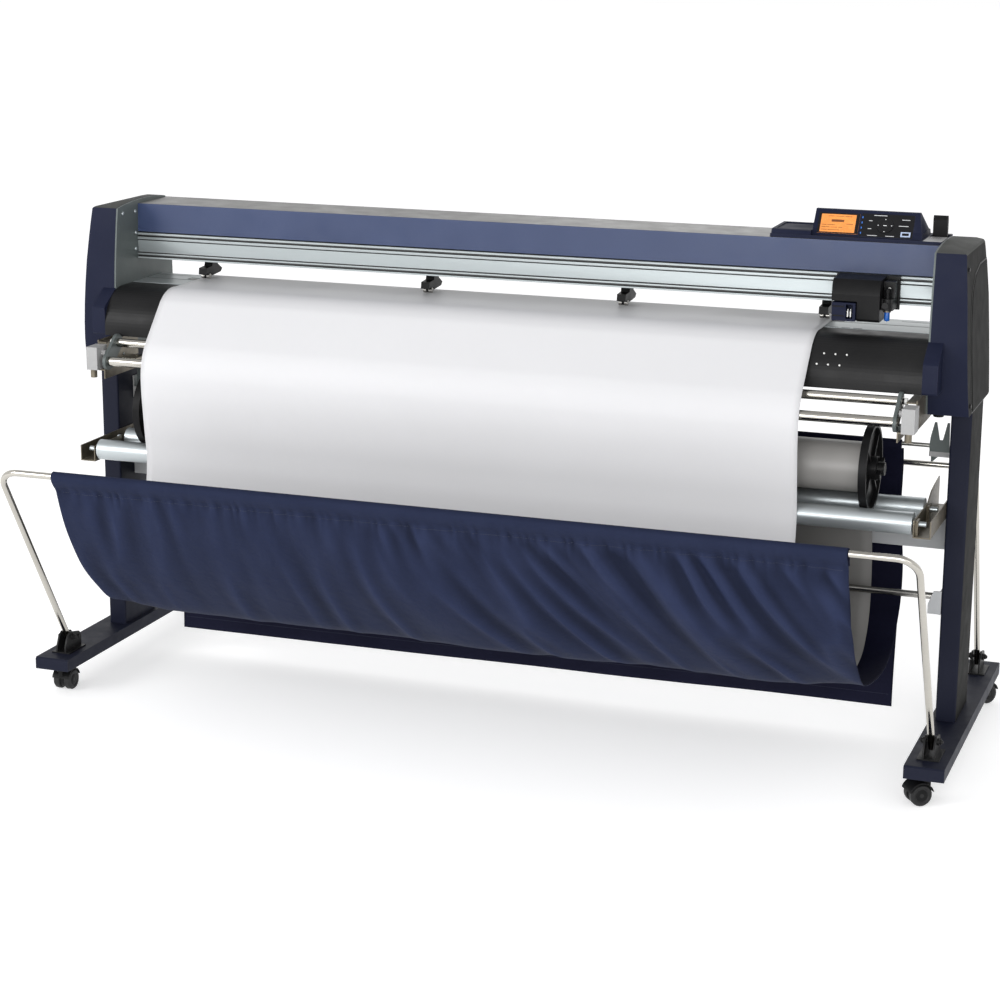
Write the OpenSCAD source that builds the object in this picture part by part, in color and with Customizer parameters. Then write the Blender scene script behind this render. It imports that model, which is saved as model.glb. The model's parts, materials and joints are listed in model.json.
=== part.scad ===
// Wide-format roll-fed vinyl cutting plotter on a castored stand with a cloth basket.
// Millimetres. X to the right seen from the front, Y to the back, Z up, floor at Z 0.

/* [Stand] */
// half distance between the foot centre lines
foot_x = 1082; // [900:1:1200]
// width of a foot
foot_w = 90; // [60:1:120]
// front end of the feet, measured from the leg datum
foot_front = -383; // [-450:1:-300]
// rear end of the feet, measured from the leg datum
foot_rear = 430; // [350:1:500]
// underside of the feet above the floor
foot_z = 67; // [60:1:90]
// height of a foot section
foot_h = 30; // [25:1:50]
// inner face of a leg
leg_in = 1050; // [900:1:1150]
// outer face of a leg
leg_out = 1097; // [950:1:1200]
// front face of a leg
leg_front = -59; // [-100:1:-30]
// rear face of a leg
leg_rear = 105; // [60:1:150]
// top of the legs inside the side covers
leg_top = 858; // [840:1:900]
// wall of the leg tube
leg_wall = 3; // [2:0.5:5]
// underside of the cross beam
beam_z = 485; // [400:1:560]
// height of the cross beam
beam_h = 71; // [50:1:100]

/* [Casters] */
// diameter of a caster wheel
wheel_d = 50; // [40:1:75]
// offset of the wheel axle from the swivel axis
trail = 20; // [12:1:30]
// distance of the front casters from the leg datum
caster_front = -335; // [-370:1:-280]
// distance of the rear casters from the leg datum
caster_rear = 385; // [320:1:410]

/* [Basket] */
// radius of the front basket tube
front_tube_r = 8; // [6:0.5:12]
// radius of the rear frame tube
rear_tube_r = 7; // [6:0.5:12]
// half width of the basket cloth
cloth_x = 934; // [800:1:1000]
// thickness of the basket cloth
cloth_t = 2; // [1:0.5:4]

/* [Media] */
// radius of the stock rollers
roller_r = 25; // [20:1:40]
// axis of the front stock roller
roller_y1 = -231; // [-260:1:-200]
// axis of the rear stock roller
roller_y2 = -89; // [-110:1:-60]
// height of the stock roller axes
roller_z = 603.5; // [560:0.5:660]
// radius of the roll flanges
flange_r = 98; // [80:1:120]
// radius of the wound roll
roll_r = 57; // [45:1:90]
// bore radius of the roll core
core_r = 38.1; // [25:0.1:40]
// left edge of the sheet on the platen
web_x0 = -865; // [-1000:1:-500]
// right edge of the sheet on the platen
web_x1 = 752; // [300:1:950]

/* [Machine] */
// inner face of the side covers
cover_in = 1008; // [800:1:1060]
// top surface of the platen
platen_z = 995; // [900:1:1100]
// front face of the rail
rail_y = -16; // [-40:1:0]
// parked position of the carriage along X
carriage_x = 832; // [-800:1:860]
// axis of the grit rollers along Y
grit_y = 50; // [30:1:70]
// radius of the grit rollers
grit_r = 13; // [8:0.5:16]

/* [Node] */

/* [Hidden] */

// whole object shifted so that its outline is centred on Y 0
y_off = 83.5;
fit = 0.05;
gap = 0.3;
foot_top = foot_z + foot_h;
foot_wall = 3;
stem_r = 5;
wheel_r = wheel_d / 2;
wheel_w = 17;
wheel_in = 6.5;
axle_r = 4;
front_lean = 30.26;
front_base = [-288, 112];
front_len = 587;
rear_lean = 20.6;
rear_base = [352, 113];
rear_len = 575;
frame_x = 1082;
bend_r = 48;
rod_rear = [66, 715];
rod_rear_r = 5;
rod_mid = [-45, 389];
rod_mid_r = 8;
roll_y = (roller_y1 + roller_y2) / 2;
roll_z = roller_z + sqrt(pow(flange_r + roller_r + gap, 2) - pow((roller_y2 - roller_y1) / 2, 2));
roll_x = 884;
frame_in = cover_in - 4;
channel_in = 1010.5;
guide_up = [-212, 871];
guide_lo = [-260, 833];
grit_z = platen_z - 0.4 - grit_r;
pinch_r = 6.5;
pinch_z = platen_z + 2.5 + pinch_r;
lift_yz = [84, 1062];
pinch_x = [-848, -248, 249, 733];
lever_yz = [95, 1150];
panel_a = 55.9;
panel_0 = [8, 1189];
tool_dx = 67;
tool_y = -76;

function unit(v) = v / norm(v);
function arc(c, r, a0, a1, n) =
    [for (i = [0:n]) c + r * [cos(a0 + (a1 - a0) * i / n), sin(a0 + (a1 - a0) * i / n)]];
function side(p, i) =
    let (a = p[max(i - 1, 0)], b = p[min(i + 1, len(p) - 1)], d = unit(b - a)) [-d[1], d[0]];
function strip(p, t) =
    concat(p, [for (i = [len(p) - 1:-1:0]) p[i] + side(p, i) * t]);
function inset(p, t) =
    [for (i = [0:len(p) - 1])
        let (a = p[(i + len(p) - 1) % len(p)], b = p[(i + 1) % len(p)], d = unit(b - a))
        p[i] + t * [-d[1], d[0]]];

module place() {
    translate([0, y_off, 0]) children();
}

// a YZ outline made solid from x0 to x1
module yz(x0, x1) {
    translate([x0, 0, 0]) rotate([90, 0, 90]) linear_extrude(x1 - x0) children();
}

// an XZ outline made solid from y0 to y1
module xz(y0, y1) {
    translate([0, y1, 0]) rotate([90, 0, 0]) linear_extrude(y1 - y0) children();
}

module both_sides() {
    children();
    mirror([1, 0, 0]) children();
}

module box(a, b) {
    translate(a) cube(b - a);
}

// a round bar along X through a point of the YZ plane
module bar_x(x0, x1, p, r) {
    translate([x0, p[0], p[1]]) rotate([0, 90, 0]) cylinder(h = x1 - x0, r = r, $fn = 48);
}

module tube_x(x0, x1, p, r, ri) {
    difference() {
        bar_x(x0, x1, p, r);
        bar_x(x0 - 1, x1 + 1, p, ri);
    }
}

module round_rect(w, d, r) {
    translate([-w / 2 + r, -d / 2]) square([w - 2 * r, d]);
    translate([-w / 2, -d / 2 + r]) square([w, d - 2 * r]);
    for (i = [-1, 1], j = [-1, 1])
        translate([i * (w / 2 - r), j * (d / 2 - r)]) circle(r = r, $fn = 32);
}

/* ---- stand ---- */

module foot() {
    difference() {
        yz(foot_x - foot_w / 2, foot_x + foot_w / 2)
            polygon([[foot_front, foot_z], [foot_rear, foot_z], [foot_rear, foot_top - 4],
                [foot_rear - 4, foot_top], [foot_front + 4, foot_top],
                [foot_front, foot_top - 4]]);
        foot_hollow(foot_front + foot_wall, caster_front - 30);
        foot_hollow(caster_front + 30, caster_rear - 30);
        foot_hollow(caster_rear + 30, foot_rear - foot_wall);
        for (y = [caster_front, caster_rear])
            translate([foot_x, y, foot_z - 1])
                cylinder(h = foot_h - foot_wall + 1, r = stem_r + fit, $fn = 40);
    }
}

module foot_hollow(y0, y1) {
    box([foot_x - foot_w / 2 + foot_wall, y0, foot_z - 1],
        [foot_x + foot_w / 2 - foot_wall, y1, foot_top - foot_wall]);
}

module feet() {
    color([0.13, 0.15, 0.24]) place() both_sides() foot();
}

leg_w = leg_out - leg_in;
leg_d = leg_rear - leg_front;
leg_holes_z = [472, 570];
leg_hole_y = leg_rear - 14;
leg_hole_r = 4.25;

module leg() {
    difference() {
        translate([(leg_in + leg_out) / 2, (leg_front + leg_rear) / 2, foot_top])
            linear_extrude(leg_top - foot_top) difference() {
                round_rect(leg_w, leg_d, 5);
                square([leg_w - 2 * leg_wall, leg_d - 2 * leg_wall], center = true);
            }
        for (z = leg_holes_z)
            translate([leg_out - leg_wall - 1, leg_hole_y, z])
                rotate([0, 90, 0]) cylinder(h = leg_wall + 2, r = leg_hole_r, $fn = 40);
    }
}

module legs() {
    color([0.13, 0.15, 0.24]) place() both_sides() leg();
}

beam_y = 14;
beam_d = 36;

module cross_beam() {
    color([0.55, 0.56, 0.57]) place() difference() {
        box([-leg_in, beam_y, beam_z], [leg_in, beam_y + beam_d, beam_z + beam_h]);
        box([-leg_in + 3, beam_y + 3, beam_z + 3],
            [leg_in - 3, beam_y + beam_d + 1, beam_z + beam_h - 3]);
    }
}

/* ---- casters: fork with hood and stem, twin wheels with their axle ---- */

module caster_fork(x, y, a) {
    color([0.05, 0.05, 0.05]) place() translate([x, y, 0]) rotate([0, 0, a]) difference() {
        union() {
            translate([0, 0, 51]) cylinder(h = foot_z - gap - 51, r = 12, $fn = 40);
            translate([0, 0, 60]) cylinder(h = 31, r = stem_r, $fn = 40);
            yz(-wheel_in + 1, wheel_in - 1) fork_web();
            yz(-wheel_in - wheel_w, wheel_in + wheel_w) fork_hood();
        }
        bar_x(-10, 10, [trail, wheel_r], axle_r + fit);
    }
}

module fork_web() {
    translate([trail, wheel_r]) circle(r = 21, $fn = 48);
    translate([-8, 36]) square([30, 20]);
}

module fork_hood() {
    intersection() {
        difference() {
            translate([trail, wheel_r]) circle(r = wheel_r + 4.5, $fn = 64);
            translate([trail, wheel_r]) circle(r = wheel_r + 2, $fn = 64);
        }
        translate([trail - 32, wheel_r + 8]) square([64, 40]);
    }
}

module caster_wheels(x, y, a) {
    color([0.04, 0.04, 0.04]) place() translate([x, y, 0]) rotate([0, 0, a]) {
        for (s = [0, 1]) mirror([s, 0, 0]) translate([wheel_in, trail, wheel_r])
            rotate([0, 90, 0]) rotate_extrude($fn = 64)
                polygon([[0, 0], [23, 0], [25, 2.5], [25, wheel_w - 4], [22.5, wheel_w - 0.5],
                    [17, wheel_w], [15, wheel_w - 1.5], [6, wheel_w - 1.5], [5, wheel_w - 0.5],
                    [0, wheel_w - 0.5]]);
        bar_x(-wheel_in - 1, wheel_in + 1, [trail, wheel_r], axle_r);
    }
}

fr_turn = 124;
rl_turn = 24;
rr_turn = -36;

module caster_fl_fork() { caster_fork(-foot_x, caster_front, 0); }
module caster_fl_wheels() { caster_wheels(-foot_x, caster_front, 0); }
module caster_fr_fork() { caster_fork(foot_x, caster_front, fr_turn); }
module caster_fr_wheels() { caster_wheels(foot_x, caster_front, fr_turn); }
module caster_rl_fork() { caster_fork(-foot_x, caster_rear, rl_turn); }
module caster_rl_wheels() { caster_wheels(-foot_x, caster_rear, rl_turn); }
module caster_rr_fork() { caster_fork(foot_x, caster_rear, rr_turn); }
module caster_rr_wheels() { caster_wheels(foot_x, caster_rear, rr_turn); }

/* ---- basket ---- */

// inverted U of round tube standing in its own plane, the top rod at the height len
module u_frame(len, r) {
    difference() {
        union() {
            both_sides() {
                translate([frame_x, 0, 0]) cylinder(h = len - bend_r, r = r, $fn = 40);
                translate([frame_x - bend_r, 0, len - bend_r]) rotate([90, 0, 0])
                    rotate_extrude(angle = 90, $fn = 64)
                        translate([bend_r, 0]) circle(r = r, $fn = 40);
            }
            bar_x(-frame_x + bend_r, frame_x - bend_r, [0, len], r);
        }
        bar_x(-frame_x - 30, frame_x + 30, [0, bolt_up], bolt_r);
    }
}

bolt_up = 22;
bolt_r = 4;

module basket_frame_front() {
    color([0.75, 0.75, 0.73]) place() translate([0, front_base[0], front_base[1]])
        rotate([front_lean, 0, 0]) u_frame(front_len, front_tube_r);
}

module basket_frame_rear() {
    color([0.75, 0.75, 0.73]) place() translate([0, rear_base[0], rear_base[1]])
        rotate([rear_lean, 0, 0]) u_frame(rear_len, rear_tube_r);
}

// two cheeks on a base plate, tied by the bolt that the tube hangs on
module basket_bracket(base, lean, r) {
    c = base + bolt_up * [-sin(lean), cos(lean)];
    h = c[1] - foot_top;
    box([-25, c[0] - 38, foot_top], [25, c[0] + 44, foot_top + 3]);
    both_sides() yz(r + 1.5, r + 5.5) polygon([[c[0] - 36, foot_top], [c[0] + 42, foot_top],
        [c[0] + 42, foot_top + h - 6], [c[0] + 34, foot_top + h + 6],
        [c[0] - 10, foot_top + h + 16], [c[0] - 24, foot_top + h + 6],
        [c[0] - 36, foot_top + h - 18]]);
    bar_x(-r - 10, r + 10, c, bolt_r);
    both_sides() bar_x(r + 5.5, r + 10.5, c, 8);
    both_sides() bar_x(r + 5, r + 9, [c[0] + 28, c[1] - 6], 5);
}

module basket_brackets() {
    color([0.06, 0.06, 0.06]) place() both_sides() translate([frame_x, 0, 0]) {
        basket_bracket(front_base, front_lean, front_tube_r);
        basket_bracket(rear_base, rear_lean, rear_tube_r);
    }
}

module basket_rod_rear() {
    color([0.6, 0.6, 0.58]) place() bar_x(-1002, 1002, rod_rear, rod_rear_r);
}

module basket_rod_mid() {
    color([0.7, 0.7, 0.68]) place() bar_x(-1044, 1044, rod_mid, rod_mid_r);
}

// notched plate, shelf and leg plate that carry the upper rear rod
module rear_rod_bracket() {
    difference() {
        union() {
            xz(20, 24) polygon([[993, 711], [1038, 711], [1036, 780], [1031, 780], [1022, 739],
                [1015, 739], [1007, 780], [1002, 780], [994, 745], [992, 725]]);
            box([992, 19, 700], [leg_in - 3, 24, 711.5]);
            xz(20, 24) polygon([[997, 688], [1001, 688], [1014, 701], [997, 701]]);
            box([994, 22, 704], [leg_in - 3, 104, 708]);
            box([997, 54, 706], [1001, 78, 728]);
            box([leg_in - 4, 20, 684], [leg_in, 104, 740]);
        }
        bar_x(980, 1004, rod_rear, rod_rear_r + fit);
    }
}

module rear_rod_brackets() {
    color([0.35, 0.37, 0.38]) place() both_sides() rear_rod_bracket();
}

module mid_rod_bracket() {
    difference() {
        union() {
            box([leg_in - 4, -62, 350], [leg_in, -24, 405]);
            xz(-62, -58) polygon([[leg_in - 30, 351], [leg_in - 1, 351], [leg_in - 1, 405],
                [leg_in - 18, 405], [leg_in - 30, 374]]);
            bar_x(leg_in - 16, leg_in - 3, rod_mid, 12);
            bar_x(leg_in - 12, leg_in - 3, [-45, 360], 7);
        }
        bar_x(leg_in - 20, leg_in - 5, rod_mid, rod_mid_r + fit);
    }
}

module mid_rod_brackets() {
    color([0.45, 0.46, 0.46]) place() both_sides() mid_rod_bracket();
}

front_rod = front_base + front_len * [-sin(front_lean), cos(front_lean)];
sleeve_r = front_tube_r + 1.2;
// cloth run, from the front rod down through the belly and up behind the beam
cloth_run = [front_rod + [-9, -6], [-578, 589], [-562, 541], [-530, 468], [-476, 382],
    [-406, 301], [-352, 252], [-290, 228], [-200, 215], [-120, 214], [-40, 225], [20, 255],
    [60, 307], [76, 345], [83, 400], [82, 470], [77, 560], [70, 650], [63, 690], [60, 706],
    [60, 716]];
// the same cloth over the rod and down behind to its hem
flap_run = [[72, 716], [72, 706], [75, 690], [83, 650], [90, 560], [95, 470], [97, 400], [96, 330],
    [90, 270], [82, 210], [76, 140], [72, 61]];

module basket_cloth() {
    color([0.15, 0.18, 0.30]) place() intersection() {
        yz(-1000, 1000) {
            polygon(strip(cloth_run, cloth_t));
            polygon(strip(flap_run, cloth_t));
            difference() {
                translate(front_rod) circle(r = sleeve_r + cloth_t, $fn = 48);
                translate(front_rod) circle(r = sleeve_r, $fn = 48);
            }
            difference() {
                translate(rod_rear) circle(r = rod_rear_r + 1 + cloth_t, $fn = 40);
                translate(rod_rear) circle(r = rod_rear_r + 1, $fn = 40);
                translate([rod_rear[0] - 4, rod_rear[1] - 20]) square([8, 20]);
            }
        }
        linear_extrude(900) polygon([[-cloth_x, -620], [cloth_x, -620],
            [cloth_x, 45], [cloth_x - 10, 60], [cloth_x - 10, 120],
            [-cloth_x - 18, 120], [-cloth_x - 18, 60], [-cloth_x, 45]]);
    }
}

/* ---- roll support ---- */

module roller_channel() {
    difference() {
        union() {
            difference() {
                box([channel_in, -256, 577], [leg_in, 66, 616]);
                box([channel_in + 2.5, -260, 579.5], [leg_in - 2.5, 70, 620]);
            }
            for (y = [roller_y1, roller_y2])
                box([channel_in, y - 13, 579], [channel_in + 9, y + 13, 613]);
            yz(channel_in, channel_in + 2.5) polygon([[-100, 600], [-84, 616], [-40, 634],
                [0, 640], [64, 646], [66, 640], [66, 600]]);
        }
        for (y = [roller_y1, roller_y2])
            bar_x(channel_in - 1, leg_in - 12, [y, roller_z], 6 + fit);
    }
}

module roller_channels() {
    color([0.66, 0.65, 0.60]) place() both_sides() roller_channel();
}

module stock_roller(y) {
    color([0.74, 0.77, 0.78]) place() {
        tube_x(-1007, 1007, [y, roller_z], roller_r, roller_r - 3);
        both_sides() {
            bar_x(995, 1006, [y, roller_z], roller_r - 2);
            bar_x(990, leg_in - 14, [y, roller_z], 6);
        }
    }
}

module stock_roller_front() { stock_roller(roller_y1); }
module stock_roller_rear() { stock_roller(roller_y2); }

module media_roll() {
    color([0.45, 0.44, 0.43]) place() tube_x(-roll_x, roll_x, [roll_y, roll_z], roll_r, core_r);
}

// disc, hub in the core, ribs and clamping boss
module roll_flange() {
    bar_x(roll_x + gap, roll_x + 7, [roll_y, roll_z], flange_r);
    bar_x(roll_x - 34, roll_x + 1, [roll_y, roll_z], core_r - 0.1);
    tube_x(roll_x + 6, roll_x + 18, [roll_y, roll_z], flange_r, flange_r - 7);
    bar_x(roll_x + 6, roll_x + 26, [roll_y, roll_z], 27);
    bar_x(roll_x + 20, roll_x + 42, [roll_y, roll_z], 15);
    translate([roll_x + 6, roll_y, roll_z]) for (a = [45:90:315])
        rotate([a, 0, 0]) translate([0, -3, 20]) cube([8, 6, 72]);
    translate([roll_x + 26, roll_y, roll_z]) rotate([30, 0, 0])
        translate([0, -30, -7]) cube([10, 60, 14]);
}

module roll_flanges() {
    color([0.07, 0.07, 0.07]) place() both_sides() roll_flange();
}

// free end of the roll's web, off the back of the rear roller and into the basket
tail_run = concat([[-104.2, 721]], arc([roller_y2, roller_z], roller_r + 1.2, 20, 0, 3),
    [[-62, 580], [-48, 530], [-34, 480], [-27, 430], [-26, 380], [-31, 335], [-50, 292],
    [-90, 254], [-140, 238], [-200, 234]]);

module roll_tail() {
    color([0.5, 0.5, 0.5]) place() yz(-roll_x + 2, roll_x - 2) polygon(strip(tail_run, 1));
}

/* ---- tension rods under the front guide ---- */

module guide_rod_upper() {
    color([0.82, 0.81, 0.78]) place() bar_x(-968, 968, guide_up, 10.5);
}

module guide_rod_lower() {
    color([0.82, 0.81, 0.78]) place() bar_x(-968, 968, guide_lo, 11.5);
}

module guide_plate() {
    d = guide_up - guide_lo;
    difference() {
        yz(959, 967) {
            translate(guide_up) circle(r = 21, $fn = 48);
            translate(guide_lo) circle(r = 21, $fn = 48);
            translate((guide_up + guide_lo) / 2) rotate(atan2(d[1], d[0]))
                square([norm(d), 41], center = true);
        }
        bar_x(950, 970, guide_up, 10.5 + fit);
        bar_x(950, 970, guide_lo, 11.5 + fit);
    }
    box([964, -252, 813], [974, -226, 824]);
}

module guide_plates() {
    color([0.16, 0.16, 0.15]) place() both_sides() guide_plate();
}

module guide_box() {
    box([979, -285, 813.3], [1008, -235, 869]);
    bar_x(969, 980, [-256, 852], 7);
    translate([994, -275, 794]) cylinder(h = 21, r = 8, $fn = 32);
}

module guide_boxes() {
    color([0.68, 0.68, 0.68]) place() both_sides() guide_box();
}

module guide_bracket() {
    difference() {
        union() {
            box([967.3, -268, 810], [1004, -60, 813]);
            box([967.3, -268, 790], [970.3, -60, 812]);
            box([1001, -234.7, 811], [1004, -36, 878]);
            box([980, -234.7, 871], [1002, -110, 874]);
        }
        translate([994, -275, 790]) cylinder(h = 30, r = 12, $fn = 32);
        for (y = [-200:40:-80])
            translate([985, y, 800]) cylinder(h = 20, r = 6, $fn = 24);
    }
}

module guide_brackets() {
    color([0.62, 0.60, 0.54]) place() both_sides() guide_bracket();
}

/* ---- side covers ---- */

cover_top = [[139, 1190], [110, 1194], [79, 1196], [20, 1197], [-33, 1195], [-84, 1190],
    [-112, 1185]];
cover_front = [[-118, 1150], [-125, 1100], [-131, 1050], [-135, 1000], [-137, 950],
    [-136, 900], [-132, 860], [-126, 828]];
cover_rear = [[160, 828], [166, 900], [168, 980], [166, 1060], [160, 1120], [150, 1165]];
cover_yz = concat(cover_top, cover_front, cover_rear);
cover_xz = [[1008, 1199], [1071, 1187], [1074.5, 1182], [1080, 1120], [1085, 1060],
    [1088.6, 1000], [1092.1, 940], [1095.9, 880], [1099.5, 826]];

module cover_band(off) {
    xz(-250, 200) polygon(concat([[900, 815], [900, 1205 + off]],
        [for (p = cover_xz) p + [off, p[1] > 1184 ? off : 0]], [[1100.2 + off, 815]]));
}

module side_cover() {
    difference() {
        union() {
            intersection() {
                yz(cover_in, 1120) polygon(cover_yz);
                cover_band(0);
            }
            yz(frame_in + 0.3, cover_in + 30) polygon([[-128, 996], [-190, 957], [-195, 950],
                [-195, 888], [-192, 884], [-120, 884]]);
        }
        intersection() {
            yz(cover_in - 1, 1120) polygon(inset(cover_yz, 3));
            cover_band(-3);
        }
        yz(frame_in - 1, cover_in) polygon(inset(cover_yz, 0.2));
        yz(cover_in, cover_in + 27) polygon([[-118, 986], [-188, 953], [-191, 948],
            [-191, 890], [-118, 888]]);
        box([leg_in - 1, leg_front - 1, 800], [1120, leg_rear + 1, leg_top + 1]);
        for (p = cover_screw_yz)
            bar_x(1060, 1110, p, 2.6);
    }
}

cover_screw_yz = [[-100, 1150], [-112, 850]];

module side_cover_right() {
    color([0.15, 0.17, 0.27]) place() difference() {
        side_cover();
        inlet_cut();
    }
}

module side_cover_left() {
    color([0.15, 0.17, 0.27]) place() mirror([1, 0, 0]) side_cover();
}

// raised outer skin of each side cover
panel_yz = [[150, 1140], [60, 1140], [-10, 1125], [-55, 1095], [-78, 1050], [-84, 1000],
    [-84, 832], [154, 832], [162, 900], [164, 980], [161, 1060]];

module side_panel() {
    intersection() {
        yz(1040, 1120) polygon(panel_yz);
        difference() {
            cover_band(2.2);
            cover_band(0);
        }
    }
}

module side_panels() {
    color([0.36, 0.36, 0.36]) place() both_sides() side_panel();
}

module cover_screws() {
    color([0.08, 0.08, 0.08]) place() both_sides() {
        bar_x(1068, 1078.4, cover_screw_yz[0], 2.5);
        bar_x(1078, 1081, cover_screw_yz[0], 5);
        bar_x(1087, 1099.1, cover_screw_yz[1], 2.5);
        bar_x(1098.4, 1101.2, cover_screw_yz[1], 5);
    }
}

// inner side plate with its foot on the leg
module side_frame() {
    difference() {
        union() {
            yz(frame_in, cover_in) polygon(inset(cover_yz, 0.5));
            box([cover_in - 1, -50, 832], [leg_in, 90, 838]);
            box([leg_in - 4, -50, 832], [leg_in, 90, leg_top - 3]);
        }
        bar_x(990, 1012, [grit_y, grit_z], 6 + fit);
        bar_x(990, 1012, lift_yz, 6 + fit);
        bar_x(990, 1012, lever_yz, 6 + fit);
        for (p = [[-88, 1170], [-24, 1115], [-27, 1075], [110, 1120], [110, 960]])
            bar_x(frame_in - 1, frame_in + 2, p, 3);
    }
}

module side_frames() {
    color([0.23, 0.25, 0.24]) place() both_sides() side_frame();
}

/* ---- beam, rail and covers between the side plates ---- */

module top_panel() {
    color([0.60, 0.59, 0.58]) place() difference() {
        yz(-frame_in, frame_in) polygon([[-5, 1183.6], [139, 1184], [142, 1090], [145, 1090],
            [142.5, 1187], [-8.6, 1186.6], [-8.6, 1183.6]]);
        box([959, 74, 1150], [1000, 130, 1200]);
    }
}

module fascia() {
    color([0.30, 0.35, 0.48]) place() yz(-frame_in, frame_in)
        polygon([[-8.6, 1183.3], [-8.6, 1186.4], [-9, 1186.4], [-12, 1117], [4, 1117],
            [4, 1119.5], [-9, 1119.5], [-6.4, 1180.5], [20, 1180.5], [20, 1183.3]]);
}

rail_back = rail_y + 64;
rail_z = 1050;

module y_rail() {
    color([0.80, 0.83, 0.84]) place() yz(-frame_in, frame_in) difference() {
        polygon([[rail_y, rail_z], [rail_back, rail_z], [rail_back, 1114], [rail_y, 1114],
            [rail_y, 1109], [rail_y + 4, 1108], [rail_y + 4, 1105], [rail_y, 1104],
            [rail_y, 1098], [rail_y + 3, 1095], [rail_y + 3, 1066], [rail_y, 1063],
            [rail_y, 1059], [rail_y + 4, 1058], [rail_y + 4, 1055], [rail_y, 1054]]);
        translate([rail_y + 8, rail_z + 5]) square([22, 54]);
        translate([rail_y + 34, rail_z + 5]) square([25, 54]);
    }
}

/* ---- carriage ---- */

// the slider that hooks over both lips of the rail
module carriage_plate() {
    color([0.72, 0.72, 0.70]) place() translate([carriage_x, 0, 0]) {
        box([-60, rail_y - 8, 1040], [84, rail_y - gap, 1115]);
        box([-60, rail_y - 1, rail_z - 4], [62, rail_y + 14, rail_z - gap]);
        for (z = [1056.5, 1106.5])
            box([-60, rail_y - 1, z - 1], [62, rail_y + 3.4, z + 1]);
    }
}

module carriage_cover() {
    color([0.08, 0.08, 0.09]) place() translate([carriage_x, 0, 0]) difference() {
        yz(-54, 54) polygon([[rail_y - 8, 1020], [-94, 1020], [-100, 1026], [-102, 1080],
            [-98, 1102], [-88, 1113], [rail_y - 8, 1115]]);
        yz(-51, 51) polygon([[rail_y - 7, 1023], [-92, 1023], [-97, 1028], [-99, 1080],
            [-95, 1100], [-86, 1110], [rail_y - 7, 1112]]);
        box([-60, -110, 1010], [3, rail_y - 7.9, 1065]);
    }
    color([0.08, 0.08, 0.09]) place() translate([carriage_x, 0, 0])
        box([2, -96, 1022], [5, rail_y - 8, 1068]);
}

// cutter block for the sheet cut-off, with its open window
module cross_cutter() {
    color([0.12, 0.13, 0.20]) place() translate([carriage_x, 0, 0]) difference() {
        box([-52, -106, 1021], [1, rail_y - 8, 1062]);
        box([-20, -108, 1026], [-5, -86, 1058]);
    }
}

// clamp block that lifts and lowers, with the tool bore and a second empty bore behind
module tool_holder() {
    color([0.07, 0.07, 0.08]) place() translate([carriage_x + tool_dx, tool_y, 0]) difference() {
        union() {
            box([-12, -8, 1046], [13, 51.6, 1072]);
            box([-12, 14, 1070], [13, 51.6, 1108]);
            translate([0, 0, 1046]) cylinder(h = 26, r = 12, $fn = 48);
            translate([0, -8, 1060]) rotate([90, 0, 0]) cylinder(h = 16, r = 4, $fn = 32);
            translate([0, -22, 1060]) rotate([90, 0, 0]) cylinder(h = 6, r = 7, $fn = 32);
        }
        translate([0, 0, 1040]) cylinder(h = 40, r = 5.8, $fn = 48);
        translate([0, 30, 1040]) cylinder(h = 80, r = 5.8, $fn = 48);
    }
}

module blade_holder() {
    color([0.05, 0.30, 0.62]) place() translate([carriage_x + tool_dx, tool_y, 0])
        rotate_extrude($fn = 48) polygon([[0, 1019], [0.6, 1020], [0.9, 1022], [5.4, 1022.4], [6.3, 1024],
            [6.3, 1042], [8.5, 1042], [8.5, 1045.7], [5.75, 1045.7], [5.75, 1086],
            [7.5, 1086], [7.5, 1094], [0, 1094]]);
}

/* ---- feed: pinch arms and rollers above, grit shaft below ---- */

module pinch_arm() {
    difference() {
        union() {
            yz(-11, 11) polygon([[grit_y - 18, 1026], [grit_y - 21, 1010], [grit_y - 6, 1007.5],
                [grit_y + 8, 1004], [grit_y + 60, 1008], [grit_y + 68, 1016],
                [grit_y + 44, 1030], [grit_y + 44, 1064], [grit_y + 24, 1064],
                [grit_y + 12, 1028]]);
            bar_x(-11, 11, lift_yz, 10);
        }
        bar_x(-20, 20, lift_yz, 6 + fit);
        bar_x(-20, 20, [grit_y, pinch_z], pinch_r + 1.2);
        box([-12, grit_y - 20, 990], [-3, grit_y + 7, 1011]);
        box([3, grit_y - 20, 990], [12, grit_y + 7, 1011]);
    }
    difference() {
        yz(-2.6, 2.6) translate([grit_y, pinch_z]) circle(r = 5.5, $fn = 32);
        bar_x(-20, 20, [grit_y, pinch_z], 2 + fit);
    }
    yz(-2.6, 2.6) polygon([[grit_y - 5, 1008.6], [grit_y - 5, 1014], [grit_y + 5, 1014],
        [grit_y + 5, 1008.6]]);
}

module pinch_arms() {
    color([0.05, 0.05, 0.05]) place() for (x = pinch_x) translate([x, 0, 0]) pinch_arm();
}

module pinch_rollers() {
    color([0.62, 0.58, 0.52]) place() for (x = pinch_x) translate([x, 0, 0]) {
        bar_x(-11, -3, [grit_y, pinch_z], pinch_r);
        bar_x(3, 11, [grit_y, pinch_z], pinch_r);
        bar_x(-4, 4, [grit_y, pinch_z], 2);
    }
}

module lift_shaft() {
    color([0.6, 0.6, 0.6]) place() bar_x(-cover_in, cover_in, lift_yz, 6);
}

grit_half = 45;
module grit_shaft() {
    color([0.66, 0.66, 0.64]) place() {
        bar_x(-cover_in, cover_in, [grit_y, grit_z], 6);
        for (x = pinch_x) bar_x(x - grit_half, x + grit_half, [grit_y, grit_z], grit_r);
    }
}

/* ---- platen, guides and the loaded sheet ---- */

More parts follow.
